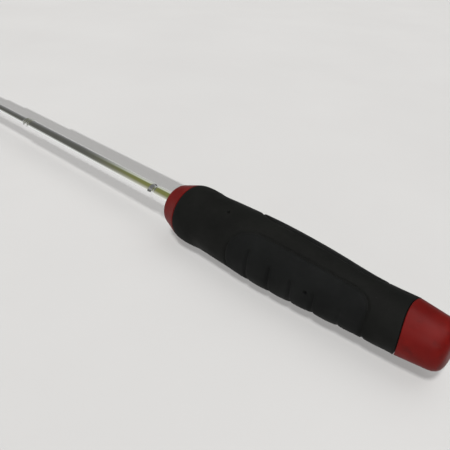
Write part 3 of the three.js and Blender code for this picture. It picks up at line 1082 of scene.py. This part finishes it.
def lamp(name, elevation, softness, strength, lit, blockers=None):
    """A distant soft light on the -Y side. Its softness is its angle seen from the tool."""
    light = bpy.data.lights.new(name, "SUN")
    light.angle = math.radians(softness)
    light.energy = strength
    made = bpy.data.objects.new(name, light)
    bpy.context.scene.collection.objects.link(made)
    raised = math.radians(elevation)
    towards = Vector((LIGHT_LEAN, -math.cos(raised), math.sin(raised))).normalized()
    made.location = Vector((NOSE_X, 0, AXIS_Z)) + towards
    made.rotation_mode = "QUATERNION"
    made.rotation_quaternion = (-towards).to_track_quat("-Z", "Y")
    made.light_linking.receiver_collection = lit
    if blockers:
        made.light_linking.blocker_collection = blockers


# What the chrome mirrors, as (upward part of the direction, colour) stops
OPEN_ROOM = (
    (0.0, (0.18, 0.18, 0.175)),
    (0.28, (0.09, 0.09, 0.085)),
    (0.46, (0.11, 0.11, 0.105)),
    (0.56, (0.28, 0.28, 0.27)),
    (0.74, (0.28, 0.28, 0.27)),
    (0.86, (0.14, 0.14, 0.14)),
)
DARK_NEAR = (
    (0.10, (0.85, 0.86, 0.84)),
    (0.17, (0.60, 0.61, 0.58)),
    (0.19, (0.22, 0.23, 0.21)),
    (0.22, (0.22, 0.23, 0.21)),
    (0.24, (0.60, 0.61, 0.58)),
    (0.28, (0.42, 0.43, 0.40)),
    (0.34, (0.10, 0.10, 0.09)),
    (0.52, (0.09, 0.09, 0.08)),
)
DARK_FAR = (
    (0.00, (0.26, 0.26, 0.26)),
    (0.30, (0.20, 0.20, 0.20)),
    (0.42, (0.15, 0.15, 0.145)),
    (0.52, (0.10, 0.10, 0.09)),
)
PALE_NEAR = (
    (0.10, (0.80, 0.80, 0.76)),
    (0.34, (0.42, 0.42, 0.34)),
    (0.50, (0.30, 0.30, 0.21)),
    (0.66, (0.17, 0.18, 0.06)),
)
PALE_FAR = (
    (0.00, (0.34, 0.34, 0.34)),
    (0.34, (0.50, 0.52, 0.45)),
    (0.58, (0.52, 0.54, 0.44)),
    (0.66, (0.17, 0.18, 0.06)),
)
BACKDROP = (0.62, 0.62, 0.61)


def room():
    """The room round the tool, which only the chrome shows, behind a plain grey backdrop."""
    world = bpy.data.worlds.new("room")
    world.use_nodes = True
    bpy.context.scene.world = world
    nodes = Nodes(world.node_tree)
    place = nodes.tree.nodes.new("ShaderNodeTexCoord")
    direction = nodes.tree.nodes.new("ShaderNodeSeparateXYZ")
    nodes.link(place.outputs["Generated"], direction, "Vector")
    x, y, up = (direction.outputs[axis] for axis in "XYZ")
    beyond = nodes.rising(y, -0.05, 0.15)
    dark = nodes.mix(beyond, nodes.levels(up, *DARK_NEAR), nodes.levels(up, *DARK_FAR))
    pale = nodes.mix(beyond, nodes.levels(up, *PALE_NEAR), nodes.levels(up, *PALE_FAR))
    tip_room = nodes.mix(nodes.rising(x, -0.70, -0.80), pale, dark)
    mirrored = nodes.mix(nodes.rising(x, -0.45, -0.62), nodes.levels(up, *OPEN_ROOM), tip_room)
    seen = nodes.tree.nodes.new("ShaderNodeLightPath").outputs["Is Camera Ray"]
    shown = nodes.mix(seen, mirrored, BACKDROP)
    nodes.link(shown, nodes.tree.nodes["Background"], "Color")


def lights():
    """Three soft lights on the tool, and three on the table, whose strengths are set apart.

    The band light throws the crisp shadow beside the mast. The handle doesn't block it, because
    no such shadow lies beside the handle.
    """
    looks = [o for o in bpy.data.objects if o.name.endswith("_look")]
    handle = ("grip_overmould_look", "handle_core_look", "end_cap_look")
    tool = group_of("tool", [o for o in looks if o.name != "outer_tube_look"])
    mast = group_of("mast", [o for o in looks if o.name not in handle])
    table = group_of("table", [bpy.data.objects["table_top"]])
    lamp("tool_low", 29, 9, 0.82, tool)
    lamp("tool_middle", 64, 12, 0.85, tool)
    lamp("tool_high", 92, 24, 1.45, tool)
    lamp("table_band", 28.4, 1.5, 12.0, table, mast)
    lamp("table_middle", 66, 11, 5.3, table)
    lamp("table_above", 116, 60, 2.6, table)


def camera():
    """Above the handle's rear on the -Y side, looking down along the mast."""
    data = bpy.data.cameras.new("camera")
    data.lens = CAMERA_LENS
    data.sensor_width = 36
    data.clip_start = 0.01
    made = bpy.data.objects.new("camera", data)
    bpy.context.scene.collection.objects.link(made)
    made.location = Vector((NOSE_X, 0, AXIS_Z)) + Vector(CAMERA_FROM_NOSE) * MM
    turn = Matrix.Rotation(math.radians(CAMERA_TURN), 3, "Z")
    dip = Matrix.Rotation(math.radians(90 - CAMERA_DIP), 3, "X")
    roll = Matrix.Rotation(math.radians(CAMERA_ROLL), 3, "Z")
    made.rotation_mode = "QUATERNION"
    made.rotation_quaternion = (turn @ dip @ roll).to_quaternion()
    bpy.context.scene.camera = made


camera()
floor()
room()
grip()
handle_core()
end_cap()
anchor_pin()
outer_tube()
stop_plug()
for stage in (2, 3, 4):
    stage_tube(stage)
stage_rod()
for stage in (2, 3, 4, 5):
    stop_bush(stage)
    spring_sleeve(stage)
head_fork()
pivot_pin()
pivot_washer("pivot_washer_left")
pivot_washer("pivot_washer_right")
head_knuckle()
magnet_cup()
magnet_spacer()
magnet()
lights()

bpy.context.scene.view_settings.view_transform = "Standard"
bpy.context.view_layer.update()
